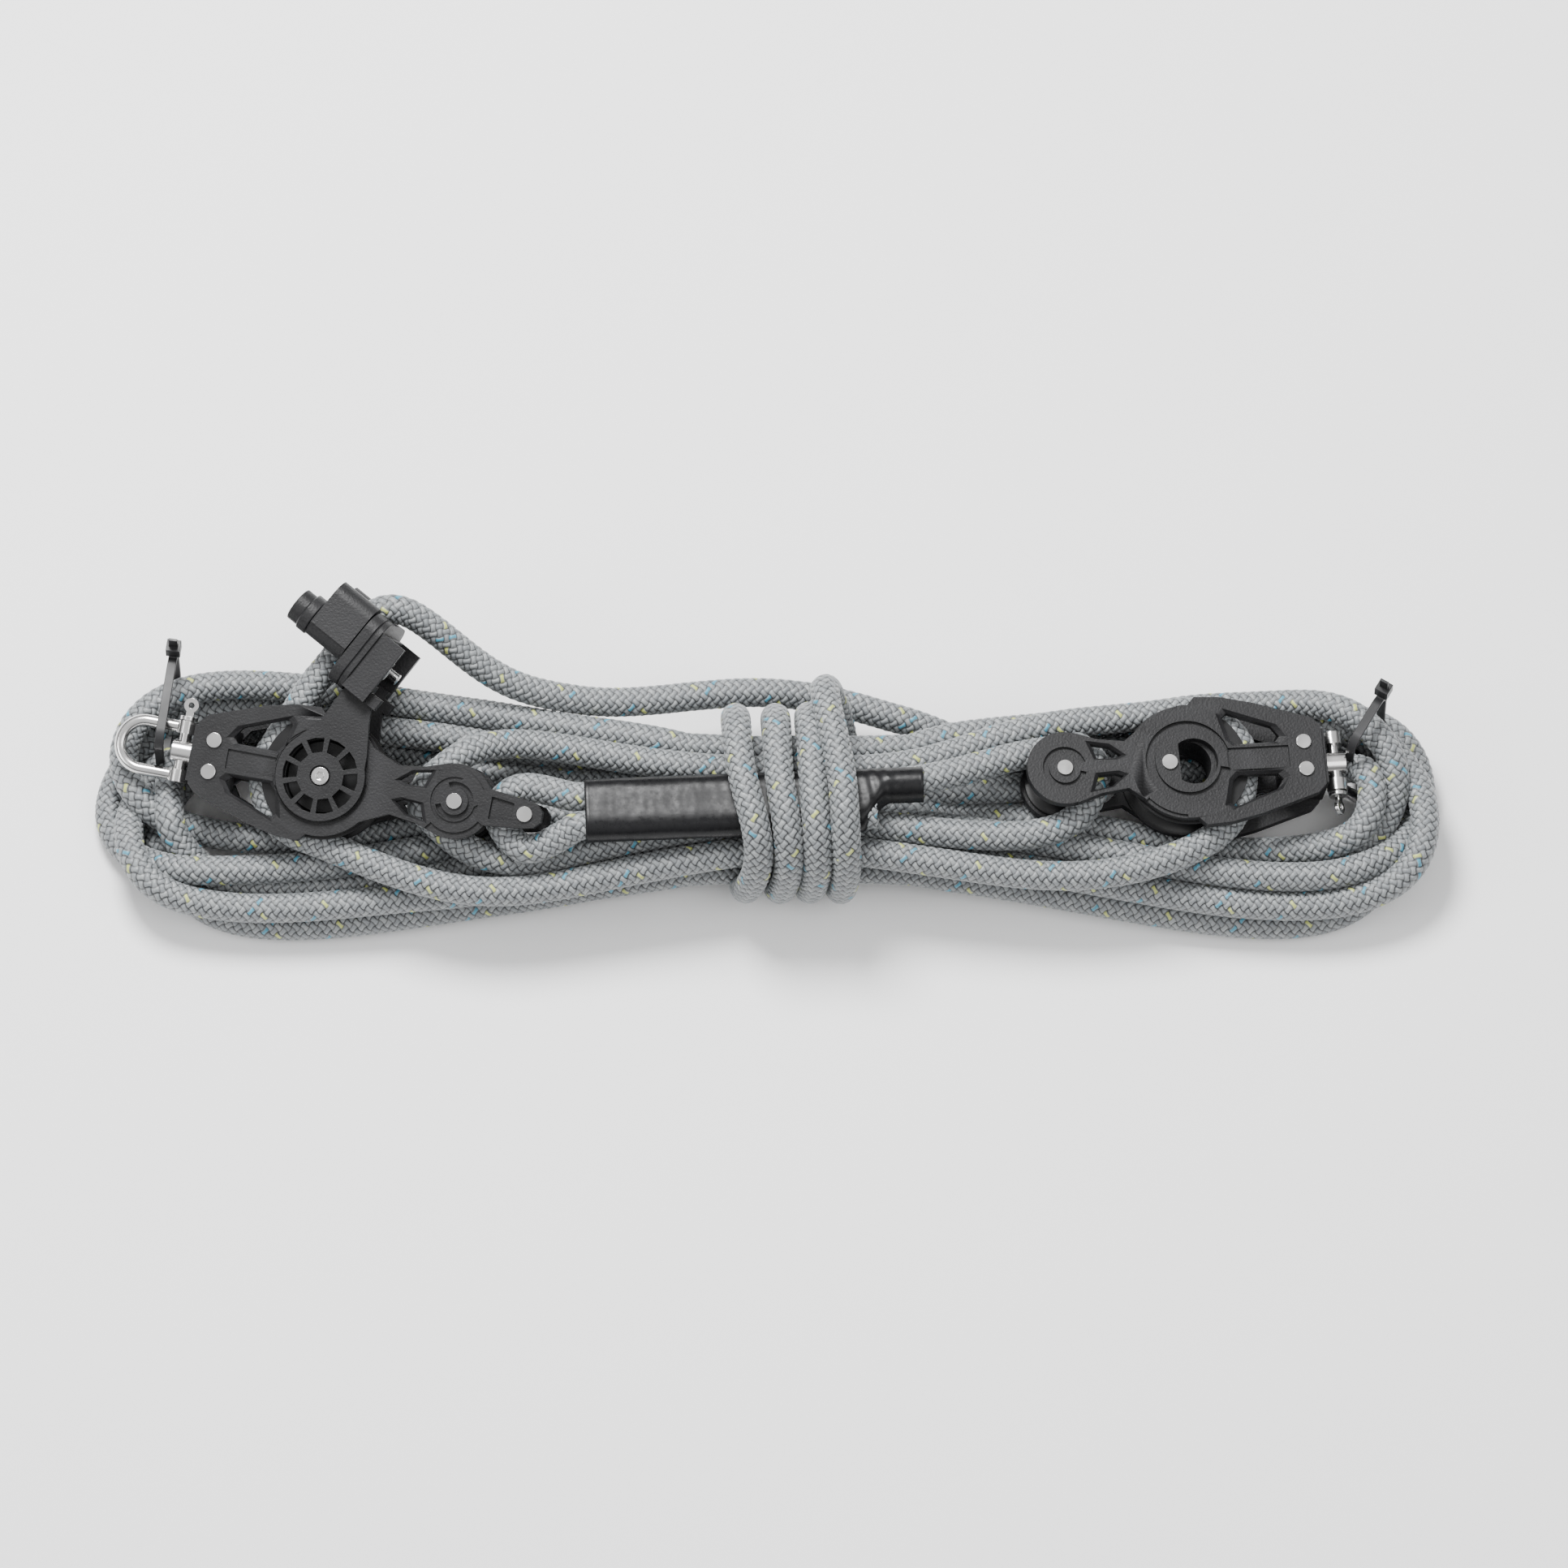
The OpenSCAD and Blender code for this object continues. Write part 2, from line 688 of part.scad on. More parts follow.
module rope_wraps() {
    color(cord_grey) translate([wrap_start, waist_y, 36.4]) rotate([90, 0, 90])
        linear_extrude(wraps * wrap_pitch) difference() {
            rounded_rect(80.4, 72.4, 26);
            rounded_rect(56.4, 48.4, 14);
        }
}

// The folded rope: two lobes with an eye in each, joined by a raised waist
module rope_hank() {
    color(cord_grey) difference() {
        union() {
            linear_extrude(lobe_left_h) hull() {
                translate(lobe_left) circle(r = lobe_left_r);
                translate([-60, flank_y]) circle(r = flank_r);
            }
            linear_extrude(lobe_right_h) hull() {
                translate(lobe_right) circle(r = lobe_right_r);
                translate([92, flank_y]) circle(r = flank_r);
            }
            translate([-60, waist_y - waist_r, waist_low])
                cube([152, 2 * waist_r, waist_high - waist_low]);
        }
        translate([wrap_start - 3, -80, -1]) cube([wraps * wrap_pitch + 6, 120, waist_low + 1]);
        translate([0, 0, -1]) linear_extrude(20) hull() {
            translate([-213, -9]) circle(r = 27);
            translate([-95, -14]) circle(r = 8);
        }
        translate([0, 0, 17]) linear_extrude(20) hull() {
            translate([-200, -9]) circle(r = 36);
            translate([-125, -20]) circle(r = 16);
        }
        translate([0, 0, -1]) linear_extrude(14) hull() {
            translate([221, -9]) circle(r = 31);
            translate([112, -14]) circle(r = 8);
        }
        translate([0, 0, 12]) linear_extrude(20) hull() {
            translate([220, -8]) circle(r = 32);
            translate([160, -8]) circle(r = 14);
        }
    }
}

// The shrunk sleeve over the two legs of the eye, stepped down to one leg at its right end
module eye_sleeve() {
    sleeve_y = -26.3;
    color(tie_black) translate([0, sleeve_y, 52.3]) rotate([0, 0, 2.3]) difference() {
        union() {
            translate([-73, 0, 0]) rotate([90, 0, 90]) linear_extrude(119) rounded_rect(26.4, 14.4,
                7.15);
            translate([0, 6, 0]) cyl_x(7.2, 40, 62.6);
        }
        translate([-74, 0, 0]) rotate([90, 0, 90]) linear_extrude(117.5) rounded_rect(24.4, 12.4,
            6.15);
        translate([0, 6, 0]) cyl_x(6.2, 30, 64);
    }
}

// ---------- Cable ties ----------

module tie_loop(w, h) {
    difference() {
        linear_extrude(3.6, center = true) difference() {
            rounded_rect(w, h, 7);
            rounded_rect(w - 2.6, h - 2.6, 5.7);
        }
    }
}

module cable_tie_left() {
    color(tie_black) translate([-241.5, 23, 29]) rotate([90, 0, 82]) {
        tie_loop(42, 34);
        translate([17.5, 16.2, -2.9]) cube([5.2, 6, 5.8]);
        translate([19.5, 21, -1.8]) cube([1.2, 7, 3.6]);
    }
}

module cable_tie_right() {
    color(tie_black) translate([240.6, 13.6, 25]) rotate([90, 0, 60]) {
        tie_loop(28, 40);
        translate([11, 19.2, -2.9]) cube([5.2, 6, 5.8]);
        translate([13, 24, -1.8]) cube([1.2, 7, 3.6]);
    }
}

cam_cheek_near();
cam_cheek_far();
cam_head();
cam_main_sheave();
cam_main_bush();
cam_axle_screw();
cam_small_sheave();
cam_small_axle();
cam_head_rivets();
becket_pin();
cam_swivel();
cam_shackle_bow();
cam_shackle_pin();
cleat_arm();
cleat_base();
jaw_near();
jaw_far();
jaw_springs();
jaw_caps();
cleat_bolts();
cleat_nuts();
plain_cheek_near();
plain_cheek_far();
plain_head();
plain_main_sheave();
plain_main_race();
plain_main_rivet();
plain_small_sheave();
plain_small_axle();
plain_head_rivets();
plain_swivel();
plain_shackle_bow();
plain_shackle_pin();
eye_sleeve();
rope_in_sheaves();
rope_eye();
rope_run_one();
rope_run_two();
rope_run_three();
rope_run_four();
rope_cleat_run();
rope_wraps();
rope_hank();
cable_tie_left();
cable_tie_right();
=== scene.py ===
"""Looks of a hanked rope tackle: two fiddle blocks, a cam cleat, shackles and braided rope."""

import json
import math

import bmesh
import bpy
import numpy as np
from mathutils import Matrix, Vector, noise
from mathutils.bvhtree import BVHTree


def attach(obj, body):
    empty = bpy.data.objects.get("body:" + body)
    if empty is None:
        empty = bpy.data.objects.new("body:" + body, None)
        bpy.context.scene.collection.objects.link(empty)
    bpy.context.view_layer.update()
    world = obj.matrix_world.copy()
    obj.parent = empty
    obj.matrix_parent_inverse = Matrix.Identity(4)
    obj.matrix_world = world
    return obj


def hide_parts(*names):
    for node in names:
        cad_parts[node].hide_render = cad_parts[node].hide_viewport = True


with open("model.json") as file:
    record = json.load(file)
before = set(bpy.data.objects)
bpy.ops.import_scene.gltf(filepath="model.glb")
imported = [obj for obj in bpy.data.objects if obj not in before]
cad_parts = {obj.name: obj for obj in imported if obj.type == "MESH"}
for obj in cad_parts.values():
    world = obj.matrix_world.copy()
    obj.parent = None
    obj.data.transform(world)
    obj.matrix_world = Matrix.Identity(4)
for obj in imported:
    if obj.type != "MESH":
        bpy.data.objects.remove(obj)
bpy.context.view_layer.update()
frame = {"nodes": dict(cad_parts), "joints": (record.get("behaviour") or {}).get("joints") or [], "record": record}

MM = 0.001
JOINTS = {j["name"]: j for j in frame["joints"]}


def mm(points):
    return np.array(points, float) * MM


# ---------- Frames of the two blocks ----------


def block_frame(main_joint, small_joint):
    """Origin at the large sheave's centre, X towards the small sheave, Z along the axles."""
    origin = Vector(JOINTS[main_joint]["pos_m"])
    z = Vector(JOINTS[main_joint]["axis"]).normalized()
    x = (Vector(JOINTS[small_joint]["pos_m"]) - origin).normalized()
    y = z.cross(x)
    x = y.cross(z)
    m = Matrix((x, y, z)).transposed().to_4x4()
    m.translation = origin
    return m


CAM = block_frame("cam_main_spin", "cam_small_spin")
PLAIN = block_frame("plain_main_spin", "plain_small_spin")
CLEAT_ANGLE = math.radians(61.9)
ARM = CAM @ Matrix.Rotation(CLEAT_ANGLE, 4, "Z")


def at(m, x, y, z=0.0):
    """A point given in millimetres in a block's frame, in the row frame in metres."""
    return np.array(m @ (Vector((x, y, z)) * MM))


# ---------- Camera, floor and light ----------

CAMERA_RISE = math.radians(68)
CAMERA_FAR = 6.0
VIEW_WIDTH = 0.6334
AIM = Vector((0.0066, 0.0035, 0.0))


def make_camera():
    data = bpy.data.cameras.new("camera")
    data.sensor_width = 36
    data.lens = 36 * CAMERA_FAR / VIEW_WIDTH
    data.clip_end = 50
    cam = bpy.data.objects.new("camera", data)
    bpy.context.scene.collection.objects.link(cam)
    back = Vector((0, -math.cos(CAMERA_RISE), math.sin(CAMERA_RISE)))
    cam.location = AIM + back * CAMERA_FAR
    cam.rotation_euler = (math.pi / 2 - CAMERA_RISE, 0, 0)
    bpy.context.scene.camera = cam


def area_light(name, place, size, energy, aim=(0, 0, 0)):
    data = bpy.data.lights.new(name, "AREA")
    data.shape = "DISK"
    data.size = size
    data.energy = energy
    lamp = bpy.data.objects.new(name, data)
    bpy.context.scene.collection.objects.link(lamp)
    lamp.location = place
    lamp.rotation_euler = (Vector(aim) - Vector(place)).to_track_quat("-Z", "Y").to_euler()


def make_sky():
    """A studio that is bright overhead and darker round the sides, for contrast in the metal."""
    world = bpy.data.worlds.new("studio")
    world.use_nodes = True
    nodes, links = world.node_tree.nodes, world.node_tree.links
    where = nodes.new("ShaderNodeTexCoord")
    split = nodes.new("ShaderNodeSeparateXYZ")
    links.new(where.outputs["Generated"], split.inputs["Vector"])
    sky = ramp(nodes, links, split.outputs["Z"], [
        (0.0, 0.35), (0.2, 0.1), (0.42, 0.5), (0.6, 1.0), (1.0, 1.15)])
    links.new(sky, nodes["Background"].inputs["Color"])
    nodes["Background"].inputs["Strength"].default_value = 0.85
    bpy.context.scene.world = world


def make_stage():
    make_sky()
    mesh = bpy.data.meshes.new("floor")
    s = 4.0
    mesh.from_pydata([(-s, -s, 0), (s, -s, 0), (s, s, 0), (-s, s, 0)], [], [(0, 1, 2, 3)])
    floor = bpy.data.objects.new("floor", mesh)
    bpy.context.scene.collection.objects.link(floor)
    m, nodes, links, shader = new_material("floor_white", (0.93, 0.93, 0.935), 0.8)
    cloud = add_noise(nodes, links, 3.0)
    mix_colour(nodes, links, cloud, (0.93, 0.93, 0.935), (0.95, 0.95, 0.95), shader)
    floor.data.materials.append(m)
    area_light("key", (-0.35, 0.75, 1.5), 0.7, 60)
    area_light("fill", (0.7, -0.6, 1.4), 1.1, 9)
    area_light("side", (-1.3, -0.4, 0.9), 0.7, 7)


# ---------- Materials ----------


def new_material(name, colour, rough, metal=0.0):
    m = bpy.data.materials.new(name)
    m.use_nodes = True
    shader = m.node_tree.nodes["Principled BSDF"]
    shader.inputs["Base Color"].default_value = (*colour, 1)
    shader.inputs["Roughness"].default_value = rough
    shader.inputs["Metallic"].default_value = metal
    return m, m.node_tree.nodes, m.node_tree.links, shader


def add_noise(nodes, links, scale, detail=3.0, stretch=(1, 1, 1)):
    where = nodes.new("ShaderNodeTexCoord")
    place = nodes.new("ShaderNodeMapping")
    place.inputs["Scale"].default_value = stretch
    pattern = nodes.new("ShaderNodeTexNoise")
    pattern.inputs["Scale"].default_value = scale
    pattern.inputs["Detail"].default_value = detail
    links.new(where.outputs["Object"], place.inputs["Vector"])
    links.new(place.outputs["Vector"], pattern.inputs["Vector"])
    return pattern.outputs["Fac"]


def ramp(nodes, links, source, stops):
    r = nodes.new("ShaderNodeValToRGB")
    while len(r.color_ramp.elements) < len(stops):
        r.color_ramp.elements.new(0.5)
    for e, (pos, value) in zip(r.color_ramp.elements, stops):
        e.position = pos
        e.color = (*value, 1) if hasattr(value, "__len__") else (value, value, value, 1)
    links.new(source, r.inputs["Fac"])
    return r.outputs["Color"]


def mix_colour(nodes, links, source, low, high, shader):
    tone = ramp(nodes, links, source, [(0.3, low), (0.7, high)])
    links.new(tone, shader.inputs["Base Color"])


def add_bump(nodes, links, shader, height, distance, strength=1.0):
    bump = nodes.new("ShaderNodeBump")
    bump.inputs["Distance"].default_value = distance
    bump.inputs["Strength"].default_value = strength
    links.new(height, bump.inputs["Height"])
    links.new(bump.outputs["Normal"], shader.inputs["Normal"])


def moulded_plastic(name, base, rough, grain):
    """Glass-filled nylon: near black, fine matt grain, paler edges that are wear and painted highlight."""
    m, nodes, links, shader = new_material(name, base, rough)
    fine = add_noise(nodes, links, 1100, 3)
    patch = add_noise(nodes, links, 60, 4)
    tone = ramp(nodes, links, patch, [(0.3, tuple(c * 0.82 for c in base)),
                                      (0.7, tuple(c * 1.2 for c in base))])
    # Paler colour on sharp edges: partly wear, partly a painted highlight along the edges.
    edge = nodes.new("ShaderNodeNewGeometry")
    edge_wear_and_highlight = ramp(nodes, links, edge.outputs["Pointiness"], [(0.52, 0.0), (0.6, 1.0)])
    mix = nodes.new("ShaderNodeMix")
    mix.data_type = "RGBA"
    scale = nodes.new("ShaderNodeMath")
    scale.operation = "MULTIPLY"
    scale.inputs[1].default_value = 0.35
    links.new(edge_wear_and_highlight, scale.inputs[0])
    links.new(scale.outputs[0], mix.inputs["Factor"])
    links.new(tone, mix.inputs["A"])
    mix.inputs["B"].default_value = (*[c * 2.4 for c in base], 1)
    links.new(mix.outputs["Result"], shader.inputs["Base Color"])
    links.new(ramp(nodes, links, patch, [(0.3, rough - 0.05), (0.7, rough + 0.08)]),
              shader.inputs["Roughness"])
    add_bump(nodes, links, shader, fine, grain, 0.6)
    shader.inputs["Specular IOR Level"].default_value = 0.3
    return m


def stainless(name, colour=(0.74, 0.74, 0.75), rough=0.16):
    m, nodes, links, shader = new_material(name, colour, rough, 1.0)
    scratch = add_noise(nodes, links, 700, 3, (1, 1, 0.15))
    smear = add_noise(nodes, links, 90, 4)
    links.new(ramp(nodes, links, smear, [(0.3, rough * 0.75), (0.75, rough * 1.7)]),
              shader.inputs["Roughness"])
    mix_colour(nodes, links, smear, tuple(c * 0.9 for c in colour), colour, shader)
    add_bump(nodes, links, shader, scratch, 0.00003, 0.5)
    return m


def shrunk_sleeve(name):
    m, nodes, links, shader = new_material(name, (0.006, 0.006, 0.0065), 0.3)
    crease = add_noise(nodes, links, 55, 5, (0.35, 1.6, 1.6))
    fine = add_noise(nodes, links, 500, 3)
    links.new(ramp(nodes, links, fine, [(0.35, 0.24), (0.7, 0.4)]), shader.inputs["Roughness"])
    shader.inputs["Specular IOR Level"].default_value = 0.16
    # Painted shade: the colour is darker in the hollows of the creases and lighter on their ridges.
    mix_colour(nodes, links, crease, (0.005, 0.005, 0.0055), (0.009, 0.009, 0.01), shader)
    add_bump(nodes, links, shader, crease, 0.0004, 0.4)
    return m


def rope_material(name):
    """Braid colour from what each cell carries: its grey, its tracer and the painted shade of its gaps."""
    m, nodes, links, shader = new_material(name, (0.4, 0.42, 0.42), 0.42)
    shade = nodes.new("ShaderNodeAttribute")
    shade.attribute_name = "shade"
    gap = nodes.new("ShaderNodeAttribute")
    gap.attribute_name = "gap"
    tone = ramp(nodes, links, shade.outputs["Fac"], [
        (0.0, (0.165, 0.178, 0.188)), (0.45, (0.235, 0.25, 0.258)), (0.62, (0.3, 0.315, 0.318)),
        (0.79, (0.35, 0.365, 0.365)), (0.8, (0.06, 0.24, 0.34)), (0.89, (0.07, 0.26, 0.36)),
        (0.9, (0.42, 0.46, 0.13)), (1.0, (0.46, 0.5, 0.16))])
    fibre = add_noise(nodes, links, 2600, 2)
    soften = nodes.new("ShaderNodeMix")
    soften.data_type = "RGBA"
    soften.blend_type = "MULTIPLY"
    soften.inputs["Factor"].default_value = 1.0
    links.new(tone, soften.inputs["A"])
    links.new(ramp(nodes, links, fibre, [(0.25, 0.8), (0.75, 1.1)]), soften.inputs["B"])
    # Painted shade: the colour goes near black in the gaps between strands.
    gap_shade_mix = nodes.new("ShaderNodeMix")
    gap_shade_mix.data_type = "RGBA"
    links.new(gap.outputs["Fac"], gap_shade_mix.inputs["Factor"])
    links.new(soften.outputs["Result"], gap_shade_mix.inputs["A"])
    gap_shade_mix.inputs["B"].default_value = (0.02, 0.021, 0.023, 1)
    links.new(gap_shade_mix.outputs["Result"], shader.inputs["Base Color"])
    shader.inputs["Sheen Weight"].default_value = 0.15
    add_bump(nodes, links, shader, fibre, 0.00012, 0.6)
    return m


# ---------- Rope geometry ----------

ROPE_D = 12 * MM
ROPE_R = ROPE_D / 2
COLUMNS = 16
CELL = 3.5 * MM
FINE = 4
# How far a strand stands out, how much its float is stretched, and how its edges draw in
BULGE = 0.72 * MM
STRETCH = 0.165
EDGE_DRAW = 0.07
ROPE_STEP = 6 * MM


def smooth_line(points, step):
    """A Catmull-Rom curve through the points, sampled every step along its length."""
    p = np.array(points, float)
    q = np.vstack([2 * p[0] - p[1], p, 2 * p[-1] - p[-2]])
    out = []
    for a, b, c, d in zip(q[:-3], q[1:-2], q[2:-1], q[3:]):
        t = np.linspace(0, 1, 24, endpoint=False)[:, None]
        out.append(0.5 * (2 * b + (c - a) * t + (2 * a - 5 * b + 4 * c - d) * t * t
                          + (3 * b - a - 3 * c + d) * t ** 3))
    return even_line(np.vstack([*out, p[-1:]]), step)


def even_line(p, step):
    run = np.concatenate([[0], np.cumsum(np.linalg.norm(np.diff(p, axis=0), axis=1))])
    n = max(2, int(round(run[-1] / step)) + 1)
    s = np.linspace(0, run[-1], n)
    return np.stack([np.interp(s, run, p[:, k]) for k in range(3)], axis=1)


def carried_frames(p):
    """Tangent, and two normals carried along the line without twist."""
    t = np.gradient(p, axis=0)
    t /= np.linalg.norm(t, axis=1)[:, None]
    u = np.empty_like(p)
    first = np.cross(t[0], (0, 0, 1.0)) if abs(t[0][2]) < 0.9 else np.cross(t[0], (1.0, 0, 0))
    u[0] = first / np.linalg.norm(first)
    for i in range(1, len(p)):
        v = u[i - 1] - t[i] * np.dot(u[i - 1], t[i])
        u[i] = v / np.linalg.norm(v)
    return t, u, np.cross(t, u)


def braided(name, line, material):
    """A mesh tube along the line whose surface is a plain braid: one bulged cell per crossing."""
    line = smooth_line(line, CELL / (2 * FINE))
    rings, half = len(line), 2 * FINE
    per = COLUMNS * FINE // 2
    t, u, v = carried_frames(line)
    r_index = np.arange(rings)[:, None]
    k_index = np.arange(per)[None, :]
    step = 2 * math.pi / (2 * per)
    turn = (2 * k_index + r_index % 2) * step
    # Place inside the lattice of cells, measured along the two strand directions
    across = (2 * k_index + r_index % 2) / FINE
    upward = np.broadcast_to(r_index / FINE, across.shape)
    a, b = (upward + across) / 2, (upward - across) / 2
    # Each strand's float is longer and narrower than its place in the lattice
    lean_a = -STRETCH * np.cos(math.pi * a) * np.sin(math.pi * b)
    lean_b = STRETCH * np.sin(math.pi * a) * np.cos(math.pi * b)
    lean_a -= EDGE_DRAW * np.sin(2 * math.pi * a)
    lean_b -= EDGE_DRAW * np.sin(2 * math.pi * b)
    turn = turn + (lean_a - lean_b) * 2 * math.pi / COLUMNS
    shift = (lean_a + lean_b) * CELL / 2
    pa, pb = np.abs(a - np.floor(a) - 0.5) * 2, np.abs(b - np.floor(b) - 0.5) * 2
    # The column decides which way the upper strand runs
    column = (np.floor(a) - np.floor(b)).astype(int) % 2
    side = np.where(column == 0, pb, pa)
    end = np.where(column == 0, pa, pb)
    height = np.sqrt(np.clip(1 - side ** 2.2, 0, 1)) * (1 - 0.75 * end ** 3)
    edge = np.maximum(pa, pb)
    # Painted shade in the gaps between strands: full at the cell corners, three quarters along the sides.
    gap = np.where(edge > 0.98, np.where(side > 0.98, 1.0, 0.75), 0.0)
    radius = ROPE_R - BULGE + BULGE * height
    points = (line[:, None] + shift[..., None] * t[:, None] + radius[..., None]
              * (np.cos(turn)[..., None] * u[:, None] + np.sin(turn)[..., None] * v[:, None]))
    # One face per small rhombus, between rings r, r + 1 and r + 2
    r = np.arange(rings - 2)[:, None]
    k = np.arange(per)[None, :]
    odd = r % 2
    right = (k + odd) % per
    left = (k + odd - 1) % per
    low, top = r * per + k, (r + 2) * per + k
    quads = np.stack([low, (r + 1) * per + right, top, (r + 1) * per + left], axis=-1)
    caps = [cap_fan(per, 0, 1, rings * per)[:, ::-1],
            cap_fan(per, rings - 1 - rings % 2, rings - 2 + rings % 2, rings * per + 1)]
    points = np.vstack([points.reshape(-1, 3), line[:1], line[-1:]])
    shade = np.concatenate([cell_shades(r, k, odd), np.full(2 * len(caps[0]), 0.3)])
    gap = np.append(gap, [0, 0])
    mesh = filled_mesh(name, points, quads.reshape(-1, 4), np.vstack(caps))
    mesh.attributes.new("gap", "FLOAT", "POINT").data.foreach_set("value", gap.astype(np.float32))
    mesh.attributes.new("shade", "FLOAT", "FACE").data.foreach_set(
        "value", shade.astype(np.float32))
    mesh.materials.append(material)
    piece = bpy.data.objects.new(name, mesh)
    bpy.context.scene.collection.objects.link(piece)
    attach(piece, "tackle")
    return piece, line


def cap_fan(per, even_ring, odd_ring, middle):
    """Triangles from a middle point to the zigzag of the last two rings at one end."""
    k = np.arange(per)
    around = np.stack([even_ring * per + k, odd_ring * per + k], axis=1).reshape(-1)
    return np.stack([around, np.roll(around, -1), np.full(2 * per, middle)], axis=1)


def filled_mesh(name, points, quads, triangles):
    """A smooth mesh from arrays of its points, four-sided faces and triangles."""
    mesh = bpy.data.meshes.new(name)
    mesh.vertices.add(len(points))
    mesh.vertices.foreach_set("co", points.reshape(-1).astype(np.float32))
    corners = np.concatenate([quads.reshape(-1), triangles.reshape(-1)])
    mesh.loops.add(len(corners))
    mesh.loops.foreach_set("vertex_index", corners.astype(np.int32))
    starts = np.concatenate([np.arange(len(quads)) * 4,
                             len(quads) * 4 + np.arange(len(triangles)) * 3])
    mesh.polygons.add(len(starts))
    mesh.polygons.foreach_set("loop_start", starts.astype(np.int32))
    mesh.update(calc_edges=True)
    shade_smooth(mesh)
    return mesh


def cell_shades(r, k, odd):
    """Each face's shade: its cell's own grey, or a tracer on one strand each way."""
    mid_up = (r + 1) / FINE
    mid_across = (2 * k + odd) / FINE
    a = np.floor((mid_up + mid_across) / 2).astype(int)
    b = np.floor((mid_up - mid_across) / 2).astype(int)
    around = (a - b) % COLUMNS
    seed = (a * 7919 + b * 104729 + 12345) % 65521
    chance = (seed * 48271 % 65521) / 65521
    second = (seed * 16807 % 65521) / 65521
    shade = 0.16 + 0.44 * chance
    one_way = np.where(around % 2 == 0, b % 8, a % 8)
    in_a = (mid_up + mid_across) / 2 - a
    in_b = (mid_up - mid_across) / 2 - b
    yarn = np.where(around % 2 == 0, in_b, in_a)
    shade = shade + 0.12 * np.sin(yarn * 9.0)
    yarn_near = (yarn > 0.2) & (yarn < 0.7)
    tracer_green = (around % 2 == 0) & (one_way == 3) & (second < 0.35) & yarn_near
    tracer_blue = (around % 2 == 1) & (one_way == 5) & (second < 0.42) & yarn_near
    shade = np.where(tracer_green, 0.95, np.where(tracer_blue, 0.845, shade))
    return shade.reshape(-1)


def shade_smooth(mesh):
    mesh.polygons.foreach_set("use_smooth", np.ones(len(mesh.polygons), bool))


# ---------- Rope routes, as in the CAD model ----------

MAIN_R, SMALL_R = 25.5, 15
CAM_GAP, PLAIN_GAP = 55, 50

EYE = mm([(44, -30.6, 52.3), (10, -31.9, 52.3), (-30, -33.5, 52.3), (-72, -35.3, 52.3),
          (-81, -38, 49.5), (-90, -42, 46.5), (-97.5, -42.5, 45), (-102.5, -38.5, 45),
          (-107, -32, 46.5), (-107.5, -26, 48), (-103, -20.5, 50.3), (-95, -19, 51.8),
          (-84, -21.5, 52.3), (-72, -23.3, 52.3), (-30, -21.5, 52.3), (20, -19.5, 52.3),
          (62, -17.8, 52.3)])
RUN_ONE = mm([(75, -15, 51.3), (88, -7, 48), (101, 1.5, 45.5)])
RUN_TWO = mm([(-121, 5, 46.5), (-108, 9, 42), (-90, 7, 38.5), (-68, 1, 38.5), (-40, -5, 40),
              (0, -7, 40.5), (40, -6.5, 40.5), (68, -1, 39), (92, 10, 37.5), (118, 15, 38)])
RUN_THREE = mm([(137.5, -24, 38), (132, -34, 38), (121, -37.5, 38), (100, -37, 38),
                (76, -34, 38), (50, -30.5, 38.6), (10, -28.5, 38.9), (-35, -31, 38.3),
                (-70, -38, 36.5), (-95, -46, 35.5), (-116, -48.5, 36), (-130, -42, 38.5)])
RUN_FOUR = mm([(190, -34, 33.5), (179, -40, 33), (163, -45, 32.5), (145, -49.5, 32),
               (120, -51.5, 32), (96, -49.5, 34), (70, -44.5, 36.5), (30, -40.5, 38.4),
               (-10, -41.5, 38.4), (-40, -45, 37), (-75, -52.5, 34), (-110, -60, 32.5),
               (-140, -54, 33.5), (-162, -44, 33.5)])
TAIL = mm([(-144.5, 57, 66), (-134, 50, 60), (-126, 42, 54), (-116, 31.5, 47), (-105, 24, 41.5),
           (-92, 19.5, 37), (-68, 21, 33), (-40, 28, 30), (-15, 33, 29), (5, 35, 28)])
# The last of the tail runs on along the hank's rear and is tucked under it
TAIL_END = mm([(22, 31.5, 25), (40, 26.5, 22), (58, 22.5, 18.5), (75, 17.5, 13), (91, 10, 8),
               (105, 1, 6.3), (117, -8, 6.2)])


def arc(m, x, r, start, end, count=14):
    angles = np.radians(np.linspace(start, end, count))
    return np.array([at(m, x + r * math.cos(a), r * math.sin(a)) for a in angles])


def reeved_route():
    """The rope from its eye through the four sheaves and the jaws, and which points are held."""
    cleat = [at(ARM, d, 26.4 if d < 20 else 28) for d in (6, 12, 24, 36, 48, 58, 62, 68)]
    parts = [
        (EYE, True), (RUN_ONE, False),
        (arc(PLAIN, PLAIN_GAP, SMALL_R, 270, 176), True), (RUN_THREE, False),
        (arc(CAM, CAM_GAP, SMALL_R, 222, 128), True), (RUN_TWO, False),
        (arc(PLAIN, 0, MAIN_R, 297, 172), True),
        ([at(PLAIN, -28.4, 11), at(PLAIN, -29.3, 20)], True), (RUN_FOUR, False),
        (arc(CAM, 0, MAIN_R, 266, 152), True), (cleat, True), (TAIL, False),
        (TAIL_END, True)]
    points = np.vstack([np.array(p) for p, _ in parts])
    held = np.concatenate([[h and 1 < i < len(p) - 2 for i in range(len(p))] for p, h in parts])
    return points, held


